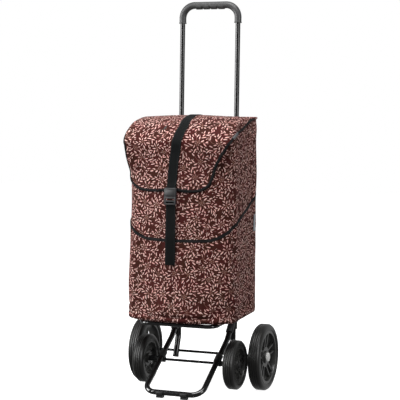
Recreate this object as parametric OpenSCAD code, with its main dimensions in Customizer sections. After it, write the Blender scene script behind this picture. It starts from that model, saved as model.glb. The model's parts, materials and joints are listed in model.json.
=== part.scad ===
// Four-wheeled shopping trolley: tubular frame, telescoping handle, fold-up tray, fabric bag with a flap lid.
// Millimetres. +Z is up, -Y is the front, +X is the trolley's right side seen from its front.
// The origin lies on the floor, midway across the wheels and midway along the trolley's depth.

/* [Frame] */
// Half of the distance between the two uprights
frame_half = 90; // [80:1:100]
// Outer diameter of the lower upright tubes
upright_d = 18; // [17:0.5:20]
// Distance of the uprights behind the rear axle
mast_back = 14; // [12:1:18]
// Height of the top end of the lower upright tubes
upright_top = 700; // [640:5:720]
// Diameter of the front loop tube
loop_d = 16; // [14:0.5:18]
// Forward reach of the front loop's bar from the rear axle
loop_reach = 249; // [240:1:260]
// Height of the front loop's bar centre
loop_bar_z = 15; // [14:1:16]

/* [Handle] */
// Diameter of the sliding handle tube
handle_d = 15; // [14:0.5:15]
// Height of the handle bar's centre when pulled out
handle_z = 1164; // [1100:5:1200]
// Length that the handle slides down
handle_travel = 300; // [200:10:300]
// Outer diameter of the soft grip
grip_d = 21; // [19:0.5:24]

/* [Wheels] */
// Diameter of the rear wheels
rear_wheel_d = 200; // [190:2:210]
// Width of the rear tyres
rear_tyre_w = 38; // [32:1:40]
// Distance between the outer faces of the rear tyres
rear_track = 426; // [420:2:440]
// Diameter of the front wheels
front_wheel_d = 146; // [138:2:150]
// Width of the front tyres
front_tyre_w = 35; // [28:1:35]
// Distance between the outer faces of the front tyres
front_track = 322; // [320:2:326]
// Forward reach of the front axle from the rear axle
front_axle_reach = 111; // [108:1:114]
// Height of the front axle
front_axle_z = 89; // [88:1:92]
// Diameter of both axle rods
axle_d = 8; // [7:0.5:9]

/* [Tray] */
// Diameter of the tray tube
tray_d = 12; // [10:0.5:12]
// Half of the distance between the tray's side tubes
tray_half = 118; // [116:1:124]
// Forward reach of the tray's front bar from the rear axle
tray_reach = 226; // [210:1:228]

/* [Bag] */
// Width of the bag
bag_w = 332; // [320:2:336]
// Thickness of the bag's padded fabric wall
bag_wall = 3; // [2:0.5:4]
// Width of the webbing strap and its buckle parts
strap_w = 30; // [25:1:35]
// Sideways place of the strap
strap_x = -8; // [-12:1:10]

/* [Hidden] */
$fn = 48;

// Clearances
slide_gap = 0.3;
shaft_gap = 0.05;
layer_gap = 0.5;
bend_lap = 1;
bend_swell = 0.1;

// Reference lines. The trolley's depth runs from the feet to the back of the rear wheels.
rear_r = rear_wheel_d / 2;
front_r = front_wheel_d / 2;
foot_r = 11.5;
axle_y = (loop_reach + foot_r - rear_r) / 2;
mast_y = axle_y + mast_back;
front_axle_y = axle_y - front_axle_reach;
loop_bar_y = axle_y - loop_reach;

// Uprights lean through the rear axle, then run straight up
lean = 18;
bend_z = rear_r + mast_back / tan(lean);
plug_drop = 15;
upright_bend_r = 60;
upright_wall = 1.2;
upright_bore = handle_d + 2 * slide_gap;
button_z = upright_top - 35;
button_d = 6;

// Crossbars between the uprights
crossbar_d = 12;
upper_bar_z = 660;
lower_bar_z = 228;

// Wheels: hub ends as distances from the middle, and as places within the wheel
rear_mid = (rear_track - rear_tyre_w) / 2;
front_mid = (front_track - front_tyre_w) / 2;
rear_hub_in = rear_track / 2 - 30;
rear_hub_out = rear_track / 2 - 7;
front_hub_in = front_track / 2 - 29;
front_hub_out = front_track / 2 - 5;
rear_hub = [rear_hub_in - rear_mid, rear_hub_out - rear_mid];
front_hub = [front_hub_in - front_mid, front_hub_out - front_mid];
rear_rim_r = 81;
front_rim_r = 57;
rim_inset = 6;

// Front loop: short steep stay, knee, straight diagonal, rounded corners, bar
loop_wall = 1.5;
loop_pitch = 32.5;
stay_pitch = 48.5;
knee_r = 45;
knee_reach = 38;
knee_z = loop_bar_z + (loop_reach - knee_reach) * tan(loop_pitch);
stay_len = 50;
stay_top = [knee_reach - stay_len * cos(stay_pitch), knee_z + stay_len * sin(stay_pitch)];
corner_r = 34;
clamp_z = 196;
clamp_h = 38;
clamp_r = upright_d / 2 + 4;

// Tray: slopes gently down to the front
tray_pivot_y = mast_y - 25;
tray_pivot_z = 226;
tray_front_z = 213;
tray_corner_r = 30;
tray_tail = 8;
bracket_x = frame_half + upright_d / 2 + 0.5;

// Handle
handle_bottom = upright_top - 220;
handle_bend = 39;
handle_bore_r = handle_d / 2 - 1.2;
grip_down = 52;

// Bag side profile, as forward reach from the back wall and height, from the back bottom corner round
bag_back_y = mast_y - upright_d / 2 - 2.5;
bag_profile = [[0, 239], [250, 221], [255, 320], [253, 480], [246, 600], [248, 680], [256, 730], [257, 748],
               [244, 770], [222, 790], [190, 808], [150, 819], [110, 824], [60, 823], [0, 820]];
brow = 7;
bag_depth = bag_profile[brow][0];
mouth_z = 732;
bag_crown_r = 446;
bag_corner_front = 50;
bag_corner_back = 16;
back_gap = 2;
past_front = bag_depth + 44;
below_bag = 200;
above_bag = 900;
flap_t = 2.5;
flap_x = -24;
flap_z = 605;
flap_half = 128;
flap_corner = 34;
binding_w = 6;
pocket_t = 1.5;
pocket_front_z = 468;
pocket_back_z = 598;
board_t = 3;
webbing_t = 1.5;
strap_end_z = 396;
buckle_top_z = 616;
buckle_mid_z = 590;
buckle_end_z = 566;
buckle_t = 9;

function bag_y(reach) = bag_back_y - reach;
function unit(v) = v / norm(v);

// Moves the side profile outwards by d, each point along the mean of its two edge normals
function edge_out(a, b) = let (e = unit(b - a)) [e[1], -e[0]];
function grown(pts, d) = [
    for (i = [0:len(pts) - 1])
        let (prev = pts[(i + len(pts) - 1) % len(pts)], next = pts[(i + 1) % len(pts)])
        let (n1 = edge_out(prev, pts[i]), n2 = edge_out(pts[i], next))
        pts[i] + d * (n1 + n2) / (1 + n1 * n2)
];

// Forward reach of the bag's front wall at height z
function front_reach(z) = lookup(z, [for (i = [1:brow]) [bag_profile[i][1], bag_profile[i][0]]]);

// ---------- Building blocks ----------

// A ring along X from x1 to x2
module x_ring(x1, x2, y, z, r, bore_r = 0) {
    translate([x1, y, z])
        rotate([0, 90, 0])
            difference() {
                cylinder(h = x2 - x1, r = r);
                if (bore_r > 0) translate([0, 0, -1]) cylinder(h = x2 - x1 + 2, r = bore_r);
            }
}

// A straight round piece between two points
module rod(a, b, r, bore_r = 0) {
    d = b - a;
    translate(a)
        rotate([0, acos(d[2] / norm(d)), atan2(d[1], d[0])])
            difference() {
                cylinder(h = norm(d), r = r);
                if (bore_r > 0) translate([0, 0, -1]) cylinder(h = norm(d) + 2, r = bore_r);
            }
}

// A bent tube that starts at the origin along +Z. Each step is [straight length, bend angle, bend radius,
// roll]: the tube rolls about its own axis by roll degrees and then bends towards its +X. The last step is
// a straight.
// The bends are a hair thicker than the straights, which reach a little way into them.
module tube_run(steps, r, bore_r = 0, i = 0) {
    straight = steps[i][0];
    last = i == len(steps) - 1;
    low = i == 0 ? 0 : -bend_lap;
    high = last ? straight : straight + bend_lap;
    difference() {
        translate([0, 0, low]) cylinder(h = high - low, r = r);
        if (bore_r > 0) translate([0, 0, low - 1]) cylinder(h = high - low + 2, r = bore_r);
    }
    if (!last) {
        turn = steps[i][1];
        bend_r = steps[i][2];
        translate([0, 0, straight])
            rotate([0, 0, steps[i][3]])
                translate([bend_r, 0, 0]) {
                    mirror([1, 0, 0])
                        rotate([90, 0, 0])
                            rotate_extrude(angle = turn)
                                translate([bend_r, 0])
                                    difference() {
                                        circle(r = r + bend_swell);
                                        if (bore_r > 0) circle(r = bore_r - bend_swell);
                                    }
                    rotate([0, turn, 0]) translate([-bend_r, 0, 0]) tube_run(steps, r, bore_r, i + 1);
                }
    }
}

// Extrudes a [reach, height] profile of the bag across the width
module across(pts, width, centre_x = 0) {
    translate([centre_x + width / 2, bag_back_y, 0])
        rotate([90, 0, -90])
            linear_extrude(height = width)
                polygon(pts);
}

// Points of an arc, leaving out the first and last skip points
function arc(centre, r, from, to, n, skip = 0) = [
    for (i = [skip:n - skip])
        let (a = from + (to - from) * i / n)
        centre + r * [cos(a), sin(a)]
];

// The bag's outline from above, larger all round by grow: round corners, and a front wall that bows forward
function bag_outline(grow) =
    let (back_x = bag_w / 2 - bag_corner_back, front_x = bag_w / 2 - bag_corner_front)
    let (crown_y = bag_crown_r - bag_depth)
    let (front_y = crown_y - sqrt(pow(bag_crown_r - bag_corner_front, 2) - pow(front_x, 2)))
    let (turn = atan((crown_y - front_y) / front_x))
    concat(
        arc([back_x, -bag_corner_back], bag_corner_back + grow, 0, 90, 6),
        arc([-back_x, -bag_corner_back], bag_corner_back + grow, 90, 180, 6),
        arc([-front_x, front_y], bag_corner_front + grow, 180, 180 + turn, 8),
        arc([0, crown_y], bag_crown_r + grow, 180 + turn, 360 - turn, 10, 1),
        arc([front_x, front_y], bag_corner_front + grow, 360 - turn, 360, 8)
    );

// The bag's whole form, larger all round by grow
module bag_form(grow) {
    intersection() {
        translate([0, bag_back_y, below_bag])
            linear_extrude(height = above_bag - below_bag)
                polygon(bag_outline(grow));
        across(grown(bag_profile, grow), bag_w + 40);
    }
}

// A skin over the bag between two distances from it
module bag_skin(inner, outer) {
    difference() {
        bag_form(outer);
        bag_form(inner);
    }
}

// ---------- Frame ----------

module upright(side) {
    x = side * frame_half;
    tangent = upright_bend_r * tan(lean / 2);
    foot_len = plug_drop / cos(lean) + mast_back / sin(lean) - tangent;
    color("black")
        difference() {
            translate([x, axle_y - plug_drop * tan(lean), rear_r - plug_drop])
                rotate([-lean, 0, 0])
                    tube_run([[foot_len, lean, upright_bend_r, -90], [upright_top - bend_z - tangent]],
                             upright_d / 2, upright_bore / 2);
            x_ring(x - 20, x + 20, axle_y, rear_r, axle_d / 2);
            for (z = [button_z, button_z - handle_travel])
                translate([x, mast_y, z])
                    rotate([-90, 0, 0])
                        cylinder(h = 20, r = button_d / 2 + slide_gap);
        }
}

module end_plug(side) {
    x = side * frame_half;
    tip = [x, axle_y - plug_drop * tan(lean), rear_r - plug_drop];
    along = unit([0, -tan(lean), -1]);
    color("black") {
        rod(tip, tip + along * 4, upright_d / 2 + 0.6);
        rod(tip, tip - along * 8, upright_bore / 2);
    }
}

module crossbar(z) {
    span = frame_half - upright_d / 2;
    color("black") x_ring(-span, span, mast_y, z, crossbar_d / 2, crossbar_d / 2 - upright_wall);
}

// Guide bush on top of an upright
module collar(side) {
    color("black")
        translate([side * frame_half, mast_y, 0])
            difference() {
                translate([0, 0, upright_top - 22]) cylinder(h = 28, r = upright_d / 2 + 2);
                translate([0, 0, upright_top - 23]) cylinder(h = 23, r = upright_d / 2);
                translate([0, 0, upright_top - 1]) cylinder(h = 8, r = handle_d / 2 + slide_gap);
            }
}

module rear_axle() {
    end = rear_hub_out + 3;
    color("silver") x_ring(-end, end, axle_y, rear_r, axle_d / 2);
}

module rear_axle_clips() {
    half_t = 0.8;
    color("silver")
        for (mid = [-1, 1] * (rear_hub_in - 2 * half_t))
            x_ring(mid - half_t, mid + half_t, axle_y, rear_r, axle_d, axle_d / 2);
}

// Push-on cap over an axle end
module hubcap(side, hub_out, y, z, r, depth) {
    translate([side * (hub_out + 0.4), y, z])
        rotate([0, side * 90, 0])
            difference() {
                rotate_extrude()
                    polygon([[0, 0], [r, 0], [r, depth * 0.45], [r - 1.5, depth * 0.8], [r - 4, depth],
                             [0, depth]]);
                translate([0, 0, -1]) cylinder(h = 3.6, r = axle_d / 2);
            }
}

module rear_hubcap(side) { color("white") hubcap(side, rear_hub_out, axle_y, rear_r, 14, 6); }
module front_hubcap(side) { color("black") hubcap(side, front_hub_out, front_axle_y, front_axle_z, 10, 4.5); }

module front_loop() {
    knee_turn = stay_pitch - loop_pitch;
    knee_cut = knee_r * tan(knee_turn / 2);
    leg = (loop_reach - knee_reach) / cos(loop_pitch) - knee_cut - corner_r;
    bar = 2 * (frame_half - corner_r);
    stay = stay_len - knee_cut;
    color("black")
        translate([-frame_half, axle_y - stay_top[0], stay_top[1]])
            rotate([90 + stay_pitch, 0, 0])
                tube_run([[stay, knee_turn, knee_r, 90], [leg, 90, corner_r, -90], [bar, 90, corner_r, 0],
                          [leg, knee_turn, knee_r, 90], [stay]],
                         loop_d / 2, loop_d / 2 - loop_wall);
}

// Clamp that holds the top of the loop to an upright
module loop_bracket(side) {
    x = side * frame_half;
    top = [x, axle_y - stay_top[0], stay_top[1]];
    along = [0, cos(stay_pitch), sin(stay_pitch)];
    color("black")
        difference() {
            union() {
                translate([x, mast_y, clamp_z - clamp_h / 2]) cylinder(h = clamp_h, r = clamp_r);
                rod(top - along * 22, top + along * 10, loop_d / 2 + 3);
            }
            translate([x, mast_y, 100]) cylinder(h = 300, r = upright_d / 2);
            rod(top - along * 40, top, loop_d / 2);
        }
}

// Heads and nuts of the bolts that close the two clamps
module bracket_bolts() {
    head_t = 3;
    color("silver")
        for (side = [-1, 1], face = [-1, 1]) {
            mid = side * frame_half + face * (clamp_r + head_t / 2);
            x_ring(mid - head_t / 2, mid + head_t / 2, mast_y, clamp_z + 8, 4.5);
        }
}

// Foot that snaps onto the loop's bar from below
module foot_clip(side) {
    x = side * 38;
    half_w = 10;
    pad = 16;
    lips_z = loop_bar_z + 4;
    color("black")
        difference() {
            union() {
                x_ring(x - half_w, x + half_w, loop_bar_y, loop_bar_z, foot_r);
                translate([x - half_w, loop_bar_y - pad / 2, 0]) cube([2 * half_w, pad, loop_bar_z]);
            }
            x_ring(x - 20, x + 20, loop_bar_y, loop_bar_z, loop_d / 2);
            translate([x - 20, loop_bar_y - 20, lips_z]) cube(40);
        }
}

module front_axle() {
    end = front_hub_out + 3;
    color("silver") x_ring(-end, end, front_axle_y, front_axle_z, axle_d / 2);
}

// Holder that hangs the front axle under a leg of the loop
module axle_holder(side) {
    x = side * frame_half;
    slope = [0, -cos(loop_pitch), -sin(loop_pitch)];
    leg = [x, front_axle_y, knee_z - (front_axle_reach - knee_reach) * tan(loop_pitch)];
    color("black")
        difference() {
            union() {
                rod(leg - slope * 13, leg + slope * 13, loop_d / 2 + 3);
                x_ring(x - 9, x + 9, front_axle_y, front_axle_z, 9);
                translate([x - 6, front_axle_y - 9, front_axle_z]) cube([12, 18, leg[2] - front_axle_z]);
            }
            rod(leg - slope * 40, leg + slope * 40, loop_d / 2);
            x_ring(x - 20, x + 20, front_axle_y, front_axle_z, axle_d / 2);
        }
}

module front_sleeve(side) {
    near = frame_half + loop_d / 2 + 3.3;
    far = front_hub_in - 0.4;
    mid = side * (near + far) / 2;
    half = (far - near) / 2;
    color("black") x_ring(mid - half, mid + half, front_axle_y, front_axle_z, 8, axle_d / 2);
}

// ---------- Tray ----------

module tray_bracket(side) {
    x = side * (bracket_x + 2);
    color("black")
        difference() {
            union() {
                x_ring(x - 2, x + 2, mast_y, tray_pivot_z, 11);
                x_ring(x - 2, x + 2, tray_pivot_y, tray_pivot_z, 9);
                translate([x - 2, tray_pivot_y, tray_pivot_z - 9]) cube([4, mast_y - tray_pivot_y, 18]);
            }
            x_ring(x - 5, x + 5, tray_pivot_y, tray_pivot_z, 3);
        }
}

module tray_pivot_pins() {
    inner = bracket_x;
    outer = tray_half + tray_d / 2 + 0.5;
    color("silver")
        for (s = [-1, 1]) {
            mid = s * (inner + outer) / 2;
            half = (outer - inner) / 2;
            x_ring(mid - half, mid + half, tray_pivot_y, tray_pivot_z, 3);
            x_ring(s * (outer + 1) - 1, s * (outer + 1) + 1, tray_pivot_y, tray_pivot_z, 5.5);
        }
}

module tray_loop() {
    depth = tray_pivot_y - axle_y + tray_reach;
    slope = atan((tray_pivot_z - tray_front_z) / depth);
    leg = depth / cos(slope) + tray_tail - tray_corner_r;
    bar = 2 * (tray_half - tray_corner_r);
    tail = [-tray_half, tray_pivot_y + tray_tail * cos(slope), tray_pivot_z + tray_tail * sin(slope)];
    color("black")
        difference() {
            translate(tail)
                rotate([90 + slope, 0, 0])
                    tube_run([[leg, 90, tray_corner_r, 0], [bar, 90, tray_corner_r, 0], [leg]],
                             tray_d / 2, tray_d / 2 - 1.2);
            for (s = [-1, 1])
                x_ring(s * tray_half - 10, s * tray_half + 10, tray_pivot_y, tray_pivot_z, 3 + shaft_gap);
        }
}

// ---------- Wheels, drawn about X at the origin of each axle ----------

module tyre(r, rim_r, w) {
    grooves = 4;
    groove_w = 1.6;
    pitch = w * 0.66 / grooves;
    rotate([0, 90, 0])
        difference() {
            rotate_extrude($fn = 96)
                polygon([[rim_r, -w / 2 + 3], [rim_r + 3, -w / 2], [r - 7, -w / 2], [r - 2.5, -w / 2 + 2.5],
                         [r, -w / 2 + 7], [r, w / 2 - 7], [r - 2.5, w / 2 - 2.5], [r - 7, w / 2],
                         [rim_r + 3, w / 2], [rim_r, w / 2 - 3]]);
            for (i = [0:grooves - 1])
                translate([0, 0, (i - (grooves - 1) / 2) * pitch - groove_w / 2])
                    difference() {
                        cylinder(h = groove_w, r = r + 1, $fn = 96);
                        translate([0, 0, -1]) cylinder(h = groove_w + 2, r = r - 1.8, $fn = 96);
                    }
        }
}

// Moulded rim: a ring, a hub tube from x = hub_in to hub_out, a disc round it and five pairs of spokes, which
// rise from the disc to the ring's outer face
module rim(rim_r, w, hub_r, hub_in, hub_out) {
    ring_t = 9;
    spoke_w = 5;
    disc_t = 14;
    disc_r = hub_r * 1.6;
    spread = disc_r * 0.28;
    splay = 4;
    disc_x = (hub_in + hub_out - disc_t) / 2;
    foot = disc_r - 4;
    reach = rim_r - ring_t - foot + 4;
    rise = atan((w / 2 - 3 - disc_x - disc_t) / reach);
    difference() {
        union() {
            x_ring(-w / 2, w / 2, 0, 0, rim_r, rim_r - ring_t);
            x_ring(hub_in, hub_out, 0, 0, hub_r);
            x_ring(disc_x, disc_x + disc_t, 0, 0, disc_r);
            for (i = [0:4], s = [-1, 1])
                rotate([i * 72, 0, 0])
                    translate([disc_x + 1, s * spread, foot])
                        rotate([-s * splay, rise, 0])
                            translate([0, -spoke_w / 2, 0]) cube([disc_t - 2, spoke_w, reach]);
        }
        x_ring(hub_in - 1, hub_out + 1, 0, 0, axle_d / 2 + 2.5);
    }
}

module bush(hub_in, hub_out) {
    x_ring(hub_in, hub_out, 0, 0, axle_d / 2 + 2.5, axle_d / 2 + shaft_gap);
}

module at_rear(side) {
    translate([side * rear_mid, axle_y, rear_r]) mirror([side < 0 ? 1 : 0, 0, 0]) children();
}

module at_front(side) {
    translate([side * front_mid, front_axle_y, front_axle_z]) mirror([side < 0 ? 1 : 0, 0, 0]) children();
}

module rear_tyre(side) { color("dimgray") at_rear(side) tyre(rear_r, rear_rim_r, rear_tyre_w); }
module rear_rim(side) {
    color("black") at_rear(side) rim(rear_rim_r, rear_tyre_w - rim_inset, 19, rear_hub[0], rear_hub[1]);
}

module rear_bush(side) { color("white") at_rear(side) bush(rear_hub[0], rear_hub[1]); }
module front_tyre(side) { color("dimgray") at_front(side) tyre(front_r, front_rim_r, front_tyre_w); }
module front_rim(side) {
    color("black") at_front(side) rim(front_rim_r, front_tyre_w - rim_inset, 15, front_hub[0], front_hub[1]);
}

module front_bush(side) { color("white") at_front(side) bush(front_hub[0], front_hub[1]); }

// ---------- Handle ----------

// The handle's bent tube from height low up, over the bar and down again
module handle_bow(low, r, bore_r) {
    leg = handle_z - low - handle_bend;
    bar = 2 * (frame_half - handle_bend);
    translate([-frame_half, mast_y, low])
        tube_run([[leg, 90, handle_bend, 0], [bar, 90, handle_bend, 0], [leg]], r, bore_r);
}

module handle_tube() {
    color("black")
        difference() {
            handle_bow(handle_bottom, handle_d / 2, handle_bore_r);
            for (s = [-1, 1])
                translate([s * frame_half, mast_y, button_z])
                    rotate([-90, 0, 0])
                        cylinder(h = 20, r = button_d / 2 + slide_gap);
        }
}

// Soft sleeve over the bar, both bends and the tops of the legs, with finger rolls under the bar
module handle_grip() {
    low = handle_z - grip_down;
    rolls = 4;
    roll_pitch = 24;
    roll_w = 18;
    roll_drop = 2.5;
    color("black") {
        handle_bow(low, grip_d / 2, handle_d / 2 + 0.2);
        for (s = [-1, 1])
            translate([s * frame_half, mast_y, low - 3])
                difference() {
                    cylinder(h = 3, r = grip_d / 2 + 1);
                    translate([0, 0, -1]) cylinder(h = 5, r = handle_d / 2 + 0.2);
                }
        difference() {
            for (i = [0:rolls - 1]) {
                x = (i - (rolls - 1) / 2) * roll_pitch;
                x_ring(x - roll_w / 2, x + roll_w / 2, mast_y, handle_z - roll_drop, grip_d / 2);
            }
            x_ring(-60, 60, mast_y, handle_z, handle_d / 2 + 0.2);
        }
    }
}

// U-shaped spring leaf inside a handle leg, with the locking button that snaps into the upright
module snap_spring(side) {
    leaf_r = 5;
    leaf_t = 0.6;
    leaf_len = 32;
    color("silver")
        translate([side * frame_half, mast_y, button_z]) {
            translate([0, leaf_r - leaf_t, 0]) rotate([-90, 0, 0]) cylinder(h = 7, r = button_d / 2);
            for (y = [-leaf_r, leaf_r - leaf_t])
                translate([-3, y, -leaf_len]) cube([6, leaf_t, leaf_len + 5]);
            difference() {
                x_ring(-3, 3, 0, -leaf_len, leaf_r, leaf_r - leaf_t);
                translate([-4, -leaf_r - 1, -leaf_len]) cube([8, 2 * leaf_r + 2, 2 * leaf_r]);
            }
        }
}

// ---------- Bag ----------

// Open-topped bag: its mouth's front edge is lower than its sides and back
module bag_shell() {
    color("brown")
        difference() {
            bag_form(0);
            bag_form(-bag_wall);
            translate([0, bag_back_y, mouth_z]) linear_extrude(height = 200) polygon(bag_outline(-bag_wall));
        }
}

// Stiff board on the bag's floor
module bag_base_board() {
    lift = bag_wall + 0.2;
    back = [12, bag_profile[0][1] - 1 + lift];
    front = [225, bag_profile[1][1] + 2 + lift];
    color("dimgray")
        across([back, front, front + [0, board_t], back + [0, board_t]], bag_w - 60);
}

// Two webbing loops that hang the bag's back on the upper crossbar
module bag_hangers() {
    bar_r = crossbar_d / 2;
    ring_r = bar_r + webbing_t;
    loop_w = 24;
    tail = 30;
    color("black")
        for (s = [-1, 1]) {
            x = s * 50;
            x_ring(x - loop_w / 2, x + loop_w / 2, mast_y, upper_bar_z, ring_r, bar_r);
            translate([x - loop_w / 2, bag_back_y + 0.2, upper_bar_z - tail])
                cube([loop_w, mast_y - ring_r - bag_back_y, tail]);
        }
}

// Band of height thick that starts drop below the pocket's top edge, which rises towards the back
module pocket_region(drop, thick) {
    edge = [[back_gap, pocket_back_z - drop], [bag_depth, pocket_front_z - drop],
            [past_front, pocket_front_z - drop]];
    low = [for (i = [2:-1:0]) edge[i] - [0, thick]];
    across(concat(edge, low), bag_w + 20);
}

module pocket_panel() {
    color("brown")
        intersection() {
            bag_skin(layer_gap, layer_gap + pocket_t);
            pocket_region(binding_w, pocket_front_z - binding_w - bag_profile[1][1] - 2);
        }
}

module pocket_binding() {
    color("black")
        intersection() {
            bag_skin(layer_gap, layer_gap + 2.5);
            pocket_region(0, binding_w);
        }
}

module reflective_patch() {
    patch = [1, 10, 46];
    patch_z = 486;
    color("silver")
        translate([bag_w / 2 + layer_gap + pocket_t + 0.2, bag_y(26), patch_z]) cube(patch);
}

// Region of the flap: the whole top, and a round-cornered panel down the front
module flap_outline(inset) {
    half = flap_half - inset;
    low = flap_z + inset;
    union() {
        translate([flap_x - half, low + flap_corner]) square([2 * half, above_bag - low]);
        translate([flap_x - half + flap_corner, low]) square([2 * (half - flap_corner), 40]);
        for (s = [-1, 1])
            translate([flap_x + s * (half - flap_corner), low + flap_corner]) circle(r = flap_corner);
    }
}

module flap_front_region(inset) {
    translate([0, bag_y(150), 0]) rotate([90, 0, 0]) linear_extrude(height = 200) flap_outline(inset);
}

// Everything above a line that follows the bag's top edge, drop below it
module flap_top_region(drop) {
    edge = [for (i = [len(bag_profile) - 1:-1:brow])
        [max(bag_profile[i][0], back_gap), bag_profile[i][1] - drop]];
    low = edge[len(edge) - 1][1];
    across(concat(edge, [[past_front, low], [past_front, above_bag], [back_gap, above_bag]]), bag_w + 40);
}

module flap() {
    color("brown")
        intersection() {
            bag_skin(layer_gap, layer_gap + flap_t);
            union() {
                flap_top_region(14);
                flap_front_region(binding_w);
            }
        }
}

module flap_binding() {
    color("black")
        intersection() {
            bag_skin(layer_gap, layer_gap + flap_t + 1);
            difference() {
                flap_front_region(0);
                flap_front_region(binding_w);
                flap_top_region(14);
            }
        }
}

module flap_tag() {
    tag = [0.8, 12, 14];
    tag_z = 773;
    color("silver")
        translate([bag_w / 2 + layer_gap + flap_t + 0.2, bag_y(190), tag_z]) cube(tag);
}

// A strip of webbing lying on the flap, from the back edge down to the buckle
module strap_upper() {
    lift = layer_gap + flap_t + 0.3;
    color("black")
        intersection() {
            difference() {
                across(grown(bag_profile, lift + webbing_t), strap_w, strap_x);
                across(grown(bag_profile, lift), strap_w + 2, strap_x);
            }
            across([[back_gap, buckle_top_z], [past_front, buckle_top_z],
                    [past_front, above_bag], [back_gap, above_bag]], strap_w + 2, strap_x);
        }
}

module strap_lower() {
    lift = layer_gap + pocket_t + 1.3;
    color("black")
        intersection() {
            difference() {
                across(grown(bag_profile, lift + webbing_t), strap_w, strap_x);
                across(grown(bag_profile, lift), strap_w + 2, strap_x);
            }
            across([[bag_depth - 50, strap_end_z], [past_front, strap_end_z], [past_front, buckle_end_z],
                    [bag_depth - 50, buckle_end_z]], strap_w + 2, strap_x);
        }
}

// Block from z1 to z2 with a webbing slot across it
module buckle_body(z1, z2, slot_z) {
    w = strap_w + 7;
    translate([strap_x, bag_y(front_reach(buckle_mid_z) + layer_gap + flap_t + 2), 0])
        difference() {
            translate([-w / 2, -buckle_t, z1]) cube([w, buckle_t, z2 - z1]);
            translate([-strap_w / 2, -buckle_t - 1, slot_z - 2]) cube([strap_w, buckle_t + 2, 4]);
        }
}

module buckle_female() { color("black") buckle_body(buckle_mid_z + 0.5, buckle_top_z - 1, buckle_top_z - 7); }
module buckle_male() { color("black") buckle_body(buckle_end_z + 1, buckle_mid_z - 0.5, buckle_end_z + 7); }

upright(-1);  // upright_left
upright(1);  // upright_right
end_plug(-1);  // end_plug_left
end_plug(1);  // end_plug_right
crossbar(lower_bar_z);  // lower_crossbar
crossbar(upper_bar_z);  // upper_crossbar
collar(-1);  // collar_left
collar(1);  // collar_right
rear_axle();
rear_axle_clips();
rear_hubcap(-1);  // rear_hubcap_left
rear_hubcap(1);  // rear_hubcap_right
front_loop();
loop_bracket(-1);  // loop_bracket_left
loop_bracket(1);  // loop_bracket_right
bracket_bolts();
foot_clip(-1);  // foot_clip_left
foot_clip(1);  // foot_clip_right
front_axle();
axle_holder(-1);  // axle_holder_left
axle_holder(1);  // axle_holder_right
front_sleeve(-1);  // front_sleeve_left
front_sleeve(1);  // front_sleeve_right
front_hubcap(-1);  // front_hubcap_left
front_hubcap(1);  // front_hubcap_right
tray_bracket(-1);  // tray_bracket_left
tray_bracket(1);  // tray_bracket_right
tray_pivot_pins();
tray_loop();
rear_tyre(-1);  // rear_tyre_left
rear_tyre(1);  // rear_tyre_right
rear_rim(-1);  // rear_rim_left
rear_rim(1);  // rear_rim_right
rear_bush(-1);  // rear_bush_left
rear_bush(1);  // rear_bush_right
front_tyre(-1);  // front_tyre_left
front_tyre(1);  // front_tyre_right
front_rim(-1);  // front_rim_left
front_rim(1);  // front_rim_right
front_bush(-1);  // front_bush_left
front_bush(1);  // front_bush_right
handle_tube();
handle_grip();
snap_spring(-1);  // snap_spring_left
snap_spring(1);  // snap_spring_right
bag_shell();
bag_base_board();
bag_hangers();
pocket_panel();
pocket_binding();
reflective_patch();
strap_lower();
buckle_male();
flap();
flap_binding();
flap_tag();
strap_upper();
buckle_female();
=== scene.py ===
"""Looks of the four-wheeled shopping trolley: a printed bag with a buckled flap on a black tube frame.

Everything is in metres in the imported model's frame: +Z up, -Y the front, +X the right seen from the front.
"""
import json
import math

import bmesh
import bpy
import numpy as np
from mathutils import Matrix, Vector, noise
from mathutils.bvhtree import BVHTree


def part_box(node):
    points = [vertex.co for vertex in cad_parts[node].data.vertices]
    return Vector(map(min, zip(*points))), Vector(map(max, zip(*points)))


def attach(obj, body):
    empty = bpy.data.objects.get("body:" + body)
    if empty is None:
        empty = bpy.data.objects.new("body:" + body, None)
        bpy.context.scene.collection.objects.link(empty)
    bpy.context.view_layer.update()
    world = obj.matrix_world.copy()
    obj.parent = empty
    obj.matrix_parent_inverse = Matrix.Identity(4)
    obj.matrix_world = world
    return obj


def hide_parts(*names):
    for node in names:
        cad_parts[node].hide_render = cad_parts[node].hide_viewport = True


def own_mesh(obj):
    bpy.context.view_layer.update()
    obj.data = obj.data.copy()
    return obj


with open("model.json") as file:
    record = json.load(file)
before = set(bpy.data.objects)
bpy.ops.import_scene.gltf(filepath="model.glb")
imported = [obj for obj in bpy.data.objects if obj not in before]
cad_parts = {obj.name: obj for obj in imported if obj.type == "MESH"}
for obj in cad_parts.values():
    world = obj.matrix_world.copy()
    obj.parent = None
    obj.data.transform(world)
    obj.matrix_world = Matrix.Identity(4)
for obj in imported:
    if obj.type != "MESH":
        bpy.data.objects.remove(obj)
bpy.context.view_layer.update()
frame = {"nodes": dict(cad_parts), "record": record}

NODES = frame["nodes"]

# The bag's form. Reach is forward from its back wall, and heights are above the floor.
BACK_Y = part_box("bag_shell")[1].y
BAG_HALF = 0.168
FRONT_REACH = 0.256
CORNER_R = 0.047
BACK_R = 0.016
TOP_R = 0.014
BOW_R = 0.446
CROWN_R = 2.4
PROFILE = [(0, 0.820), (0.060, 0.823), (0.110, 0.824), (0.150, 0.819), (0.190, 0.808), (0.222, 0.790),
           (0.244, 0.770), (0.257, 0.748), (0.256, 0.730), (0.248, 0.680), (0.246, 0.600), (0.253, 0.480),
           (0.255, 0.320), (0.250, 0.221)]
WALL_T = 0.0024
POCKET_LIFT = 0.0014
FLAP_LIFT = 0.0032
FLAP_T = 0.0024
STRAP_W = 0.030
STRAP_T = 0.0017

# Cloth simulation
SETTLE_FRAMES = 26
MOST_SLIDE = 0.004
MOST_LIFT = 0.012
BELOW_HEM = 0.965


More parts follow.
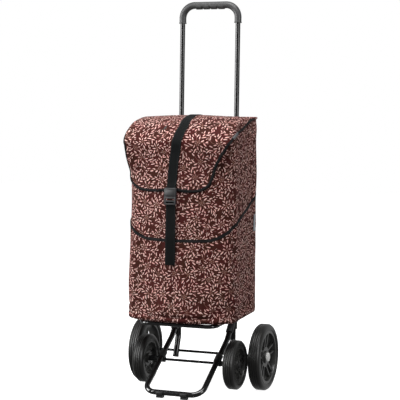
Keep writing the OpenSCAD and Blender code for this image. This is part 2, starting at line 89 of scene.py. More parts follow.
# ---------------------------------------------------------------- materials

def put(tree, socket, value):
    """Links value to the socket, or sets it where it is a plain number or colour."""
    if isinstance(value, Num):
        value = value.socket
    if isinstance(value, bpy.types.NodeSocket):
        tree.links.new(value, socket)
    else:
        socket.default_value = value


class Num:
    """A number inside a material, so that node maths reads as plain arithmetic."""

    def __init__(self, tree, socket):
        self.tree, self.socket = tree, socket

    def do(self, operation, *others):
        node = self.tree.nodes.new("ShaderNodeMath")
        node.operation = operation
        for slot, value in zip(node.inputs, (self,) + others):
            put(self.tree, slot, value)
        return Num(self.tree, node.outputs[0])

    def __add__(self, other):
        return self.do("ADD", other)

    def __sub__(self, other):
        return self.do("SUBTRACT", other)

    def __mul__(self, other):
        return self.do("MULTIPLY", other)

    def __truediv__(self, other):
        return self.do("DIVIDE", other)

    def __abs__(self):
        return self.do("ABSOLUTE")

    def __neg__(self):
        return self.do("MULTIPLY", -1.0)

    def clamp(self):
        return self.do("MAXIMUM", 0.0).do("MINIMUM", 1.0)

    def over(self, edge, soft):
        """0 below the edge, 1 above it, with a soft step between."""
        return ((self - edge) / soft + 0.5).clamp()


class Shade:
    """A material under construction. finish sets the shader's own sockets."""

    def __init__(self, name, finish):
        self.material = bpy.data.materials.new(name)
        self.material.use_nodes = True
        self.tree = self.material.node_tree
        self.shader = self.tree.nodes["Principled BSDF"]
        for socket, value in finish.items():
            self.shader.inputs[socket].default_value = value

    def node(self, kind, inputs, out=0, **settings):
        node = self.tree.nodes.new(kind)
        for key, value in settings.items():
            setattr(node, key, value)
        for key, value in inputs.items():
            put(self.tree, node.inputs[key], value)
        return Num(self.tree, node.outputs[out])

    def place(self):
        """Place on the object at rest, in metres."""
        return self.node("ShaderNodeTexCoord", {}, "Object")

    def uv(self):
        """Place on the cloth, in metres along its own two directions."""
        return self.node("ShaderNodeUVMap", {}, uv_map="cloth")

    def split(self, vector):
        return [self.node("ShaderNodeSeparateXYZ", {0: vector}, i) for i in range(3)]

    def join(self, x, y, z=0.0):
        return self.node("ShaderNodeCombineXYZ", {0: x, 1: y, 2: z})

    def noise(self, vector, size, detail=2.0, rough=0.5, out=0):
        return self.node("ShaderNodeTexNoise", {"Vector": vector, "Scale": 1.0 / size, "Detail": detail,
                                                "Roughness": rough}, out)

    def hash(self, vector):
        return self.node("ShaderNodeTexWhiteNoise", {"Vector": vector}, 1)

    def mix(self, amount, a, b):
        return self.node("ShaderNodeMix", {0: amount, 6: a, 7: b}, 2, data_type="RGBA")

    def base(self, color):
        put(self.tree, self.shader.inputs["Base Color"], color)

    def rough(self, value):
        put(self.tree, self.shader.inputs["Roughness"], value)

    def bump(self, height, depth):
        """Bump of the given depth in metres, linked to the shader's normal."""
        normal = self.node("ShaderNodeBump", {"Height": height, "Distance": depth, "Strength": 1.0})
        put(self.tree, self.shader.inputs["Normal"], normal)


def leaf_layer(m, x, y, cell, seed, free=1.0):
    """Sprigs: curved stems that fan out from scattered roots, with a leaf to each side every leaf_pitch.

    Returns the leaf mask, the stem mask, each leaf's tint, and the distances from the nearest stem and from
    the edge of the sprig's own ground."""
    leaf_pitch, leaf_len, leaf_w, lean, petiole = 0.0132, 0.0114, 0.0036, math.radians(36), 0.0014
    where = m.join(x + seed, y + seed * 0.37)
    cells = {"Vector": where, "Scale": 1 / cell, "Randomness": 0.65}
    root = m.node("ShaderNodeTexVoronoi", cells, "Position", voronoi_dimensions="2D")
    border = m.node("ShaderNodeTexVoronoi", cells, "Distance",
                    voronoi_dimensions="2D", feature="DISTANCE_TO_EDGE") * cell
    away = m.node("ShaderNodeVectorMath", {0: where, 1: root}, operation="SUBTRACT")
    dx, dy, _ = m.split(away)
    root_x, root_y, _ = m.split(root)
    chance, turn, _ = m.split(m.hash(m.join(root_x, root_y, seed)))
    radius = (dx * dx + dy * dy).do("SQRT")
    stems = (chance * 2.99).do("FLOOR") + 5.0
    angle = dy.do("ARCTAN2", dx) / (2 * math.pi) + turn + radius * (turn - 0.5) * (0.55 / cell)
    sector = angle * stems
    stem = sector.do("ROUND")
    across = (sector - stem) * radius * (2 * math.pi) / stems
    room = radius * math.pi / stems - abs(across)
    side = across.do("SIGN")
    foot = (radius - abs(across) / math.tan(lean)) / leaf_pitch + side * 0.25
    leaf = foot.do("ROUND")
    which = m.join(leaf + side * 40.0, stem.do("FLOORED_MODULO", stems), root_x)
    grain, present, size = m.split(m.hash(which))
    along = (abs(across) / math.sin(lean) - petiole) / ((size * 0.35 + 0.72) * leaf_len)
    belly = (along * (along.do("MULTIPLY_ADD", -1.0, 1.0)) * 4.0).do("MAXIMUM", 0.0).do("POWER", 0.75)
    fit = (border / 0.003).clamp() * (room / 0.0022).clamp() * present.over(0.07, 0.01) * free
    half = belly * fit * (leaf_w / 2)
    off = abs(foot - leaf) * (leaf_pitch * math.sin(lean))
    leaves = ((half - off) / 0.00022 + 0.2).clamp() * half.over(0.0003, 0.0001)
    line = ((abs(across) - 0.00060) / -0.0002).clamp() * (border / 0.002).clamp() * free
    tint = (off / (half + 0.0001)) * 0.55 + grain * 0.5
    return leaves, line, tint, abs(across), border


def print_fabric(name, shift):
    """Woven polyester printed all over with pale pink leaves on thin stems over maroon and brown."""
    m = Shade(name, {"Sheen Weight": 0.02, "Sheen Roughness": 0.5, "Specular IOR Level": 0.06})
    u, v, _ = m.split(m.uv())
    wave_x, wave_y, _ = m.split(m.noise(m.join(u + shift, v), 0.070, 1.0, out=1))
    x = u + (wave_x - 0.5) * 0.018 + shift
    y = v + (wave_y - 0.5) * 0.018
    leaves, line, tint, gap, border = leaf_layer(m, x, y, 0.060, 0.0)
    free = gap.over(0.0092, 0.0012).do("MAXIMUM", (-border).over(-0.0030, 0.001))
    leaves_2, line_2, tint_2, _, _ = leaf_layer(m, x, y, 0.052, 3.71, free)
    cloud = m.noise(m.join(x, y), 0.040, 2.0).over(0.5, 0.16)
    ground = m.mix(cloud, (0.044, 0.0135, 0.0092, 1), (0.062, 0.0115, 0.0110, 1))
    threads = m.noise(m.join(u, v * 0.35), 0.0009, 0.0)
    ground = m.mix(threads * 0.25, ground, (0.11, 0.034, 0.026, 1))
    stems = m.mix(line.do("MAXIMUM", line_2) * 0.85, ground, (0.34, 0.165, 0.130, 1))
    pale, pink = (1.0, 0.75, 0.68, 1), (0.70, 0.28, 0.255, 1)
    first = m.mix(leaves, stems, m.mix(tint, pale, pink))
    both = m.mix(leaves_2, first, m.mix(tint_2, pale, pink))
    m.base(both)
    weave = (u * (math.pi / 0.00045)).do("SINE") * (v * (math.pi / 0.00045)).do("SINE")
    slub = m.noise(m.join(u * 0.3, v), 0.0035, 2.0)
    m.bump(weave * 0.5 + slub, 0.00022)
    m.rough(slub * 0.16 + 0.72)
    return m.material


def plain_cloth(name, color, rib, rough=0.8, seams=(), seam_color=(0.05, 0.05, 0.05, 1)):
    """Ribbed tape or webbing with stray lighter threads, and a row of stitches at each distance in seams
    from its middle."""
    m = Shade(name, {"Sheen Weight": 0.02, "Sheen Roughness": 0.4, "Specular IOR Level": 0.14})
    u, v, _ = m.split(m.uv())
    fold = (v * (2 * math.pi / 0.006)).do("SINE").do("SIGN")
    ribs = ((u + v * fold * 0.5) * (2 * math.pi / rib)).do("SINE")
    fuzz = m.noise(m.join(u, v * 0.4), 0.0022, 3.0)
    lighter = tuple(min(1.0, c * 2.2 + 0.004) for c in color[:3]) + (1,)
    look = m.mix((ribs * 0.3 + 0.35) * fuzz, color, lighter)
    height = ribs * 0.5 + fuzz
    for place in seams:
        beside = abs(abs(v) - place)
        dash = (u / 0.0034).do("FRACT")
        stitch = ((beside - 0.00045) / -0.0002).clamp() * dash.over(0.3, 0.1)
        look = m.mix(stitch, look, seam_color)
        height = height + stitch * 1.2
    m.base(look)
    m.bump(height, 0.0003)
    m.rough(fuzz * 0.2 + (rough - 0.1))
    return m.material


def lining(name):
    """Grey coated back of the fabric."""
    m = Shade(name, {"Specular IOR Level": 0.4})
    u, v, _ = m.split(m.uv())
    weave = (u * (math.pi / 0.0006)).do("SINE") * (v * (math.pi / 0.0006)).do("SINE")
    cloud = m.noise(m.join(u, v), 0.03, 4.0)
    m.base(m.mix(cloud, (0.055, 0.052, 0.050, 1), (0.085, 0.080, 0.078, 1)))
    m.rough(cloud * 0.2 + 0.45)
    m.bump(weave * 0.4 + cloud, 0.0002)
    return m.material


def gloss_paint(name):
    """Black powder coat: glossy with a slight orange peel, and duller where dust has settled."""
    m = Shade(name, {"Coat Weight": 0.8, "Coat Roughness": 0.04, "Specular IOR Level": 0.5})
    dust = m.noise(m.place(), 0.05, 5.0, 0.65)
    m.base(m.mix(dust, (0.004, 0.004, 0.0045, 1), (0.012, 0.012, 0.0125, 1)))
    m.rough(dust * 0.10 + 0.09)
    m.bump(m.noise(m.place(), 0.0016, 1.0), 0.000012)
    return m.material


def moulded(name, dark, light, rough, grain=0.0007):
    """Moulded plastic: fine spark-eroded grain and uneven handling gloss."""
    m = Shade(name, {"Specular IOR Level": 0.5})
    cloud = m.noise(m.place(), 0.02, 5.0, 0.6)
    m.base(m.mix(cloud, dark, light))
    m.rough(cloud * 0.2 + (rough - 0.1))
    m.bump(m.noise(m.place(), grain, 2.0), 0.00005)
    return m.material


def rubber(name):
    """Tyre rubber: half glossy on its ribs, with paler dust in patches and fine moulding marks."""
    m = Shade(name, {"Specular IOR Level": 0.55, "Coat Weight": 0.25, "Coat Roughness": 0.28})
    dust = m.noise(m.place(), 0.012, 6.0, 0.7)
    streak = m.noise(m.place(), 0.05, 2.0)
    m.base(m.mix(dust * streak * 1.3, (0.0065, 0.0065, 0.0062, 1), (0.026, 0.026, 0.024, 1)))
    m.rough(dust * 0.2 + 0.30)
    m.bump(dust + m.noise(m.place(), 0.0011, 2.0) * 0.4, 0.00012)
    return m.material


def steel(name):
    """Zinc-plated steel with fine drawn lines."""
    m = Shade(name, {"Metallic": 1.0})
    x, y, z = m.split(m.place())
    lines = m.noise(m.join(x * 0.08, y, z), 0.0012, 3.0)
    m.base(m.mix(lines, (0.42, 0.42, 0.43, 1), (0.66, 0.66, 0.67, 1)))
    m.rough(lines * 0.2 + 0.24)
    m.bump(lines, 0.00003)
    return m.material


def make_materials():
    return {
        "print": print_fabric("print_fabric", 0.0),
        "print_pocket": print_fabric("print_fabric_pocket", 1.3),
        "print_flap": print_fabric("print_fabric_flap", 2.9),
        "lining": lining("grey_lining"),
        "tape": plain_cloth("binding_tape", (0.0045, 0.0045, 0.005, 1), 0.0016, seams=(0.0012,)),
        "webbing": plain_cloth("webbing", (0.0030, 0.0038, 0.0040, 1), 0.0024, seams=(0.0122,)),
        "tag": plain_cloth("woven_tag", (0.13, 0.13, 0.135, 1), 0.0012, seams=(0.0035,),
                           seam_color=(0.4, 0.4, 0.4, 1)),
        "reflective": plain_cloth("reflective_cloth", (0.40, 0.43, 0.46, 1), 0.0012, 0.45),
        "frame_paint": gloss_paint("gloss_black_paint"),
        "bright_steel": steel("zinc_steel"),
        "white_cap": moulded("white_cap", (0.86, 0.86, 0.84, 1), (0.95, 0.95, 0.93, 1), 0.30),
        "tyre_rubber": rubber("tyre_rubber"),
        "rim_plastic": moulded("rim_plastic", (0.034, 0.034, 0.033, 1), (0.058, 0.058, 0.056, 1), 0.24),
        "bush_nylon": moulded("bush_nylon", (0.60, 0.59, 0.55, 1), (0.72, 0.71, 0.67, 1), 0.45),
        "grip_foam": moulded("grip_rubber", (0.046, 0.046, 0.047, 1), (0.074, 0.074, 0.075, 1), 0.36, 0.0016),
        "board": plain_cloth("board_cover", (0.030, 0.030, 0.031, 1), 0.0012),
        "buckle_plastic": moulded("buckle_plastic", (0.022, 0.022, 0.023, 1), (0.045, 0.045, 0.047, 1), 0.40),
        "black_plastic": moulded("black_plastic", (0.018, 0.018, 0.0185, 1), (0.032, 0.032, 0.033, 1), 0.45),
        "black_axle": gloss_paint("black_axle"),
    }


# ---------------------------------------------------------------- mesh building

def add_object(name, data):
    obj = bpy.data.objects.new(name, data)
    bpy.context.scene.collection.objects.link(obj)
    return obj


def new_object(name, mesh, material, body="frame"):
    """A piece that rides on its body."""
    obj = add_object(name, mesh)
    mesh.materials.append(material)
    for face in mesh.polygons:
        face.use_smooth = True
    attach(obj, body)
    return obj


def grid_mesh(name, points, uvs, wrap=False, flip=False):
    """Mesh of quads over rows x columns of points. With wrap the last column joins the first, and uvs has one
    column more than points."""
    rows, cols = points.shape[:2]
    corners = [(j, i) for j in range(rows - 1) for i in range(cols if wrap else cols - 1)]
    faces, flat = [], []
    for j, i in corners:
        ring = [(j, i), (j, i + 1), (j + 1, i + 1), (j + 1, i)]
        if flip:
            ring.reverse()
        faces.append([a * cols + b % cols for a, b in ring])
        flat += [uvs[a, b] for a, b in ring]
    mesh = bpy.data.meshes.new(name)
    mesh.from_pydata([tuple(p) for p in points.reshape(-1, 3)], [], faces)
    layer = mesh.uv_layers.new(name="cloth")
    layer.data.foreach_set("uv", np.array(flat, np.float32).ravel())
    return mesh


def close_mesh(mesh, ring=False):
    """Welds a ring's two ends, or fills a tube's open ends, and turns every face outward."""
    work = bmesh.new()
    work.from_mesh(mesh)
    if ring:
        bmesh.ops.remove_doubles(work, verts=work.verts, dist=1e-6)
    else:
        bmesh.ops.holes_fill(work, edges=[e for e in work.edges if e.is_boundary])
    bmesh.ops.recalc_face_normals(work, faces=work.faces)
    work.to_mesh(mesh)
    work.free()
    return mesh


def run_of(path):
    """Arc length along a path of points."""
    return np.r_[0, np.cumsum(np.linalg.norm(np.diff(path, axis=0), axis=1))]


def swept(centres, side, up, section):
    """Points of a section carried along centres. side and up are its two directions at each centre."""
    return (centres[:, None] + section[None, :, 0, None] * side[:, None]
            + section[None, :, 1, None] * up[:, None])


def sweep_mesh(name, centres, side, up, section):
    """Mesh of a swept section. Its cloth coordinates are the distance along and the place across."""
    across = np.r_[section[:, 0], section[0, 0]]
    uvs = np.stack(np.meshgrid(across, run_of(centres)), -1)[..., ::-1]
    return close_mesh(grid_mesh(name, swept(centres, side, up, section), uvs, wrap=True))


def oval(width, height, count, square):
    """Section of a flat tape or webbing: an oval that is squarer the higher square is."""
    turn = np.linspace(0, 2 * math.pi, count, endpoint=False) + math.pi / count
    x, y = np.cos(turn), np.sin(turn)
    return np.stack([np.sign(x) * np.abs(x) ** (2 / square) * width / 2,
                     np.sign(y) * np.abs(y) ** (2 / square) * height / 2], -1)


def unit(v):
    return v / np.maximum(np.linalg.norm(v, axis=-1, keepdims=True), 1e-9)


def lathe(name, section, centre, material, body):
    """Ring about an axis along X. section is a closed list of (radius, x)."""
    steps = 160
    turn = np.linspace(0, 2 * math.pi, steps, endpoint=False)
    out = np.stack([np.zeros(steps), np.sin(turn), np.cos(turn)], -1)
    along = np.tile([1.0, 0.0, 0.0], (steps, 1))
    ring = np.array(section, float)
    points = swept(np.tile(np.array(centre, float), (steps, 1)), out, along, ring)
    points = np.concatenate([points, points[:1]])
    girth = run_of(np.r_[ring, ring[:1]])
    uvs = np.stack(np.meshgrid(girth, np.r_[turn, 2 * math.pi] * ring[:, 0].max()), -1)[..., ::-1]
    mesh = close_mesh(grid_mesh(name, points, uvs, wrap=True), ring=True)
    return new_object(name, mesh, material, body)


def thicken(obj, thickness, offset, inner_material=None):
    """Gives a sheet its thickness. The inner side may have a material of its own."""
    solid = obj.modifiers.new("thickness", "SOLIDIFY")
    solid.thickness = thickness
    solid.offset = offset
    solid.use_quality_normals = True
    if inner_material:
        obj.data.materials.append(inner_material)
        solid.material_offset = 1


def block(name, size, centre, radius, material, body):
    """Box with rounded edges."""
    mesh = bpy.data.meshes.new(name)
    work = bmesh.new()
    bmesh.ops.create_cube(work, size=1.0)
    bmesh.ops.scale(work, vec=size, verts=work.verts)
    bmesh.ops.bevel(work, geom=work.edges, offset=radius, segments=2, affect="EDGES", profile=0.5)
    bmesh.ops.translate(work, vec=centre, verts=work.verts)
    work.to_mesh(mesh)
    work.free()
    return new_object(name, mesh, material, body)


def merge(name, parts):
    """Joins objects that make one piece, and returns the first one renamed."""
    first = parts[0]
    with bpy.context.temp_override(active_object=first, selected_editable_objects=parts):
        bpy.ops.object.join()
    first.name = name
    return first


# ---------------------------------------------------------------- the bag's form

def smooth_path(points, per_span=24):
    """Rounded path through the given points."""
    pts = np.array(points, float)
    pts = np.vstack([2 * pts[0] - pts[1], pts, 2 * pts[-1] - pts[-2]])
    t = np.linspace(0, 1, per_span, endpoint=False)[:, None]
    spans = [0.5 * (2 * b + (c - a) * t + (2 * a - 5 * b + 4 * c - d) * t ** 2
                    + (3 * b - a - 3 * c + d) * t ** 3)
             for a, b, c, d in zip(pts, pts[1:], pts[2:], pts[3:])]
    return np.vstack(spans + [pts[-2:-1]])


def ease(x, low, high):
    t = np.clip((x - low) / (high - low), 0, 1)
    return t * t * (3 - 2 * t)


def curve_through(x, knots):
    """Smooth curve through (x, y) knots."""
    path = smooth_path(knots)
    return np.interp(x, path[:, 0], path[:, 1])


SIDE_VIEW = smooth_path(PROFILE)
SIDE_RUN = run_of(SIDE_VIEW)
BROW_S = float(np.interp(-0.730, -SIDE_VIEW[60:, 1], SIDE_RUN[60:]))


def run_at_height(z):
    """Arc length down the side view to height z on the bag's front."""
    front = SIDE_RUN >= BROW_S - 0.03
    return np.interp(-np.asarray(z), -SIDE_VIEW[front, 1], SIDE_RUN[front])


def side_view_at(s):
    """Reach, height and outward normal at arc length s from the bag's top back edge."""
    step = 0.004
    before, here, after = (np.array([np.interp(place, SIDE_RUN, SIDE_VIEW[:, k]) for k in (0, 1)])
                           for place in (s - step, s, s + step))
    dr, dz = after - before
    return here[0], here[1], unit(np.stack([-dz, dr], -1))


def lid_form(c, s, lift):
    """Point of the flap's form: c is arc length across from the middle, s arc length from the back edge."""
    c, s = np.broadcast_arrays(np.asarray(c, float), np.asarray(s, float))
    front = ease(s, BROW_S, BROW_S + 0.080)
    r = TOP_R + (CORNER_R - TOP_R) * front + lift
    half = BAG_HALF - 0.001 + lift
    a = np.abs(c)
    flat = half - r
    turn = np.clip((a - flat) / r, 0, math.pi / 2)
    x = np.where(a < flat, a, flat + r * np.sin(turn))
    sink = r * (1 - np.cos(turn)) + np.maximum(a - flat - r * math.pi / 2, 0)
    bow = BOW_R * front + CROWN_R * (1 - front)
    sink = sink + bow - np.sqrt(bow ** 2 - np.minimum(x, flat) ** 2) - lift
    reach, z, normal = side_view_at(s)
    return np.stack([np.sign(c) * x, BACK_Y - (reach - sink * normal[..., 0]), z - sink * normal[..., 1]], -1)


def half_outline():
    """Right half of the bag's outline from above, from the front's middle round to the back's middle, as
    (x, reach)."""
    flat = BAG_HALF - CORNER_R
    xs = np.linspace(0, flat, 24)
    front = np.stack([xs, FRONT_REACH - BOW_R + np.sqrt(BOW_R ** 2 - xs ** 2)], -1)
    lean = math.asin(flat / BOW_R)
    turn = np.linspace(lean, math.pi / 2, 16)[1:]
    start = front[-1] - CORNER_R * np.array([math.sin(lean), math.cos(lean)])
    corner = start + CORNER_R * np.stack([np.sin(turn), np.cos(turn)], -1)
    widen = (BAG_HALF - corner[-1, 0]) / len(corner)
    corner[:, 0] += widen * np.arange(1, len(corner) + 1)
    turn = np.linspace(0, math.pi / 2, 8)
    back = np.stack([BAG_HALF - BACK_R + BACK_R * np.cos(turn), BACK_R - BACK_R * np.sin(turn)], -1)
    return np.vstack([front, corner, back, [[0, 0]]])


OUTLINE = half_outline()
OUTLINE_RUN = run_of(OUTLINE)
HALF_GIRTH = OUTLINE_RUN[-1]


def forward(c):
    """How far forward the outline is at arc length c, from 0 at the back to 1 at the front."""
    return np.interp(np.abs(c), OUTLINE_RUN, OUTLINE[:, 1]) / FRONT_REACH


def wall_ends(share):
    """Heights of the wall's bottom edge and its mouth, which both drop towards the front."""
    return 0.239 - 0.018 * share, 0.819 - 0.078 * share ** 1.5


def wall_form(c, v):
    """Point of the bag's wall: arc length c from the front's middle, v from 0 at the bottom to 1."""
    c, v = np.broadcast_arrays(np.asarray(c, float), np.asarray(v, float))
    x = np.interp(np.abs(c), OUTLINE_RUN, OUTLINE[:, 0]) * np.sign(c)
    reach = np.interp(np.abs(c), OUTLINE_RUN, OUTLINE[:, 1])
    share = reach / FRONT_REACH
    low, high = wall_ends(share)
    z = low + (high - low) * v
    front = np.interp(run_at_height(np.minimum(z, 0.735)), SIDE_RUN, SIDE_VIEW[:, 0]) / FRONT_REACH
    width = 1 + 0.004 - 0.020 * ease(z, 0.22, 0.85)
    tuck = 1 - 0.018 * ease(v, 0.93, 1.0)
    foot = 1 - 0.010 * (1 - ease(v, 0, 0.025))
    belly = 0.0022 * np.sin(math.pi * np.clip(v * 1.15, 0, 1)) * ease(np.abs(c), 0.17, 0.22)
    belly = belly * (1 - ease(np.abs(c), HALF_GIRTH - 0.20, HALF_GIRTH - 0.165))
    x = x * width * tuck * foot + np.sign(c) * belly
    return np.stack([x, BACK_Y - reach * front * (0.5 + 0.5 * tuck) * foot - 0.001 * (1 - share), z], -1)


def ripple(points, size, depth, seed):
    """Slow random in and out movement of cloth, one number for each point."""
    flat = points.reshape(-1, 3)
    values = [noise.noise(Vector((p[0] / size[0] + seed, p[1] / size[1], p[2] / size[2]))) for p in flat]
    return (np.array(values) * depth).reshape(points.shape[:-1])


def grid_normals(points, wrap):
    """Unit normals of a grid of points."""
    if wrap:
        du = np.roll(points, -1, 1) - np.roll(points, 1, 1)
    else:
        du = np.gradient(points, axis=1)
    return unit(np.cross(du, np.gradient(points, axis=0)))


def rest_on(cloth, below, gap):
    """Moves a cloth's points out to at least gap above the cloth below it."""
    low = below.rows < BELOW_HEM
    uvs = np.zeros((len(below.rows), len(below.columns) + 1, 2))
    mesh = grid_mesh("below", below.points[low], uvs, below.wrap)
    tree = BVHTree.FromPolygons([v.co for v in mesh.vertices], [tuple(f.vertices) for f in mesh.polygons])
    bpy.data.meshes.remove(mesh)
    flat = cloth.points.reshape(-1, 3)
    for index, point in enumerate(flat):
        near, normal, _, _ = tree.find_nearest(Vector(point))
        away = Vector(point) - near
        short = gap - away.dot(normal)
        beside = (away - normal * away.dot(normal)).length
        if 0 < short < MOST_LIFT and beside < gap / 4:
            flat[index] += np.array(normal) * short
    cloth.points = flat.reshape(cloth.points.shape)
    cloth.normals = grid_normals(cloth.points, cloth.wrap) * cloth.outward


class Cloth:
    """A sheet's grid of points over two arc lengths, which other pieces lie on."""

    def __init__(self, columns, rows, points, outward=1.0, wrap=False):
        self.columns, self.rows, self.wrap, self.outward = columns, rows, wrap, outward
        self.points, self.normals = points, grid_normals(points, wrap) * outward

    def cell(self, c, r):
        """Where a place lies between the grid's columns and rows."""
        i = np.interp(c, self.columns, np.arange(len(self.columns)))
        j = np.interp(r, self.rows, np.arange(len(self.rows)))
        return i, j

    def look(self, field, c, r):
        i, j = self.cell(c, r)
        i0 = np.minimum(i.astype(int), len(self.columns) - (0 if self.wrap else 2))
        j0 = np.minimum(j.astype(int), len(self.rows) - 2)
        a, b = (i - i0)[..., None], (j - j0)[..., None]
        i1 = (i0 + 1) % len(self.columns)
        low = field[j0, i0] * (1 - a) + field[j0, i1] * a
        high = field[j0 + 1, i0] * (1 - a) + field[j0 + 1, i1] * a
        return low * (1 - b) + high * b

    def at(self, c, r, lift=0.0):
        c, r = np.broadcast_arrays(np.asarray(c, float), np.asarray(r, float))
        return self.look(self.points, c, r) + self.facing(c, r) * np.asarray(lift)[..., None]

    def facing(self, c, r):
        c, r = np.broadcast_arrays(np.asarray(c, float), np.asarray(r, float))
        return unit(self.look(self.normals, c, r))


def settle(cloth, pinned, slack, pressure, outward, inward):
    """Cloth simulation of a sheet held where pinned is 1. The cloth is slack larger than its form, and
    its points end at most outward or inward of that form."""
    uvs = np.zeros((len(cloth.rows), len(cloth.columns) + 1, 2))
    obj = add_object("settling", grid_mesh("settling", cloth.points, uvs, cloth.wrap))
    scene = bpy.context.scene
    held = obj.vertex_groups.new(name="held")
    for index, weight in enumerate(pinned.ravel()):
        if weight > 0:
            held.add([index], float(weight), "REPLACE")
    sim = obj.modifiers.new("cloth", "CLOTH")
    fabric = {"quality": 5, "mass": 0.3, "tension_stiffness": 25, "compression_stiffness": 25,
              "bending_stiffness": 1.2, "vertex_group_mass": "held", "shrink_min": -slack,
              "use_pressure": True, "uniform_pressure_force": pressure}
    for key, value in fabric.items():
        setattr(sim.settings, key, value)
    sim.settings.effector_weights.gravity = 0.5
    sim.collision_settings.use_collision = False
    sim.point_cache.frame_end = SETTLE_FRAMES
    for step in range(1, SETTLE_FRAMES + 1):
        scene.frame_set(step)
    after = obj.evaluated_get(bpy.context.evaluated_depsgraph_get()).data
    moved = np.empty(len(after.vertices) * 3)
    after.vertices.foreach_get("co", moved)
    move = moved.reshape(cloth.points.shape) - cloth.points
    scene.frame_set(1)
    bpy.data.objects.remove(obj)
    rise = np.sum(move * cloth.normals, axis=-1, keepdims=True)
    slide = move - rise * cloth.normals
    slide *= 1 / np.maximum(1, np.linalg.norm(slide, axis=-1, keepdims=True) / MOST_SLIDE)
    cloth.points = cloth.points + slide + np.clip(rise, -inward, outward) * cloth.normals
    cloth.normals = grid_normals(cloth.points, cloth.wrap) * cloth.outward


WALL_COLUMNS = np.linspace(-HALF_GIRTH, HALF_GIRTH, 176, endpoint=False)
WALL_ROWS = np.r_[0, 0.004, 0.010, np.linspace(0.02, 0.98, 84), 0.99, 1.0]


def wall_v(c, z):
    """The wall's v at height z."""
    low, high = wall_ends(forward(c))
    return np.clip((z - low) / (high - low), 0, 1)


def make_wall():
    cc, vv = np.meshgrid(WALL_COLUMNS, WALL_ROWS)
    points = wall_form(cc, vv)
    normals = grid_normals(points, True)
    hold = ease(vv, 0.0, 0.10) * (1 - ease(vv, 0.90, 1.0))
    hold = hold * (1 - 0.8 * ease(np.abs(cc), HALF_GIRTH - 0.18, HALF_GIRTH - 0.15))
    waves = ripple(points, (0.16, 0.16, 0.10), 0.0045, 3.0) + ripple(points, (0.05, 0.05, 0.07), 0.0012, 8.0)
    points = points + normals * (waves * hold)[..., None]
    wall = Cloth(WALL_COLUMNS, WALL_ROWS, points, wrap=True)
    back = ease(np.abs(cc), HALF_GIRTH - 0.175, HALF_GIRTH - 0.165)
    ends = np.maximum(1 - ease(vv, 0.012, 0.03), ease(vv, 0.97, 0.985))
    settle(wall, np.maximum(back, ends), 0.008, 0.25, 0.0045, 0.005)
    return wall


def bag_body(wall, mats):
    """The bag's outer fabric: its walls and bottom, with a grey inside."""
    girth = np.r_[WALL_COLUMNS, HALF_GIRTH]
    rows = list(wall.points)
    uvs = [np.stack([girth, np.full(len(girth), v * 0.56)], -1) for v in WALL_ROWS]
    middle = wall.points[0].mean(0)
    for k, share in enumerate((0.985, 0.96, 0.80, 0.55, 0.30, 0.05)):
        ring = middle + (wall.points[0] - middle) * share
        ring[:, 2] -= 0.0015 * (1 if k else 0.6)
        rows.insert(0, ring)
        uvs.insert(0, np.stack([girth, np.full(len(girth), -(1 - share) * 0.16)], -1))
    mesh = grid_mesh("bag_body", np.array(rows), np.array(uvs), wrap=True)
    work = bmesh.new()
    work.from_mesh(mesh)
    work.verts.ensure_lookup_table()
    work.faces.new([work.verts[i] for i in reversed(range(len(WALL_COLUMNS)))])
    work.to_mesh(mesh)
    work.free()
    obj = new_object("bag_body", mesh, mats["print"])
    thicken(obj, WALL_T, -1.0, mats["lining"])
    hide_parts("bag_shell")
    return obj


def base_board(mats):
    """Stiff floor board with rounded corners, in its fabric cover."""
    low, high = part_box("bag_base_board")
    thick, corner, rim = 0.0032, 0.020, 0.004
    drop = (high.z - low.z - thick) / (high.y - low.y)
    points = []
    for lift, inset in ((0.0, rim), (thick * 0.25, rim * 0.25), (thick * 0.5, 0.0),
                        (thick * 0.75, rim * 0.25), (thick, rim)):
        ring = []
        for sx, sy, start in ((1, 1, 0), (-1, 1, 90), (-1, -1, 180), (1, -1, 270)):
            for turn in np.radians(np.linspace(start, start + 90, 9)):
                x = (low.x if sx < 0 else high.x) - sx * corner + (corner - inset) * math.cos(turn)
                y = (low.y if sy < 0 else high.y) - sy * corner + (corner - inset) * math.sin(turn)
                ring.append((x, y, low.z + lift + drop * (y - low.y)))
        points.append(ring)
    points = np.array(points)
    uvs = np.concatenate([points, points[:, :1]], axis=1)[..., :2]
    mesh = close_mesh(grid_mesh("base_board", points, uvs, wrap=True))
    obj = new_object("base_board", mesh, mats["board"])
    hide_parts("bag_base_board")
    return obj


def hinge_roll(name, body, back, z, width, height, mats):
    """Rolled seam along the flap's hinge, back metres in front of the bag's back."""
    x = np.linspace(-0.161, 0.161, 60)
    centres = np.stack([x, np.full(60, BACK_Y - back), np.full(60, z)], -1)
    centres[:, 2] += ripple(centres, (0.05, 0.05, 0.05), 0.0006, 2.0)
    side, up = np.tile([0.0, 1.0, 0.0], (60, 1)), np.tile([0.0, 0.0, 1.0], (60, 1))
    mesh = sweep_mesh(name, centres, side, up, oval(width, height, 16, 2.4))
    return new_object(name, mesh, mats["print_flap"], body)


def hinge_rolls(mats):
    """The flap's seam: a roll on the back panel's top edge, and the flap's own on the hinge line."""
    hinge_z = 0.822
    return [hinge_roll("hinge_seam", "frame", 0.0042, PROFILE[0][1] + 0.0008, 0.0084, 0.0056, mats),
            hinge_roll("flap_hinge_roll", "flap", 0.0034, hinge_z + 0.0004, 0.0076, 0.0054, mats)]


POCKET_CENTRE = 0.007
POCKET_EDGE = [(0, 0.468), (0.085, 0.470), (0.110, 0.474), (0.135, 0.485), (0.180, 0.513), (0.225, 0.535),
               (0.275, 0.555), (0.385, 0.602)]
POCKET_END = HALF_GIRTH - BAG_HALF + 0.004


def pocket_top(c):
    return curve_through(np.abs(c - POCKET_CENTRE), POCKET_EDGE)


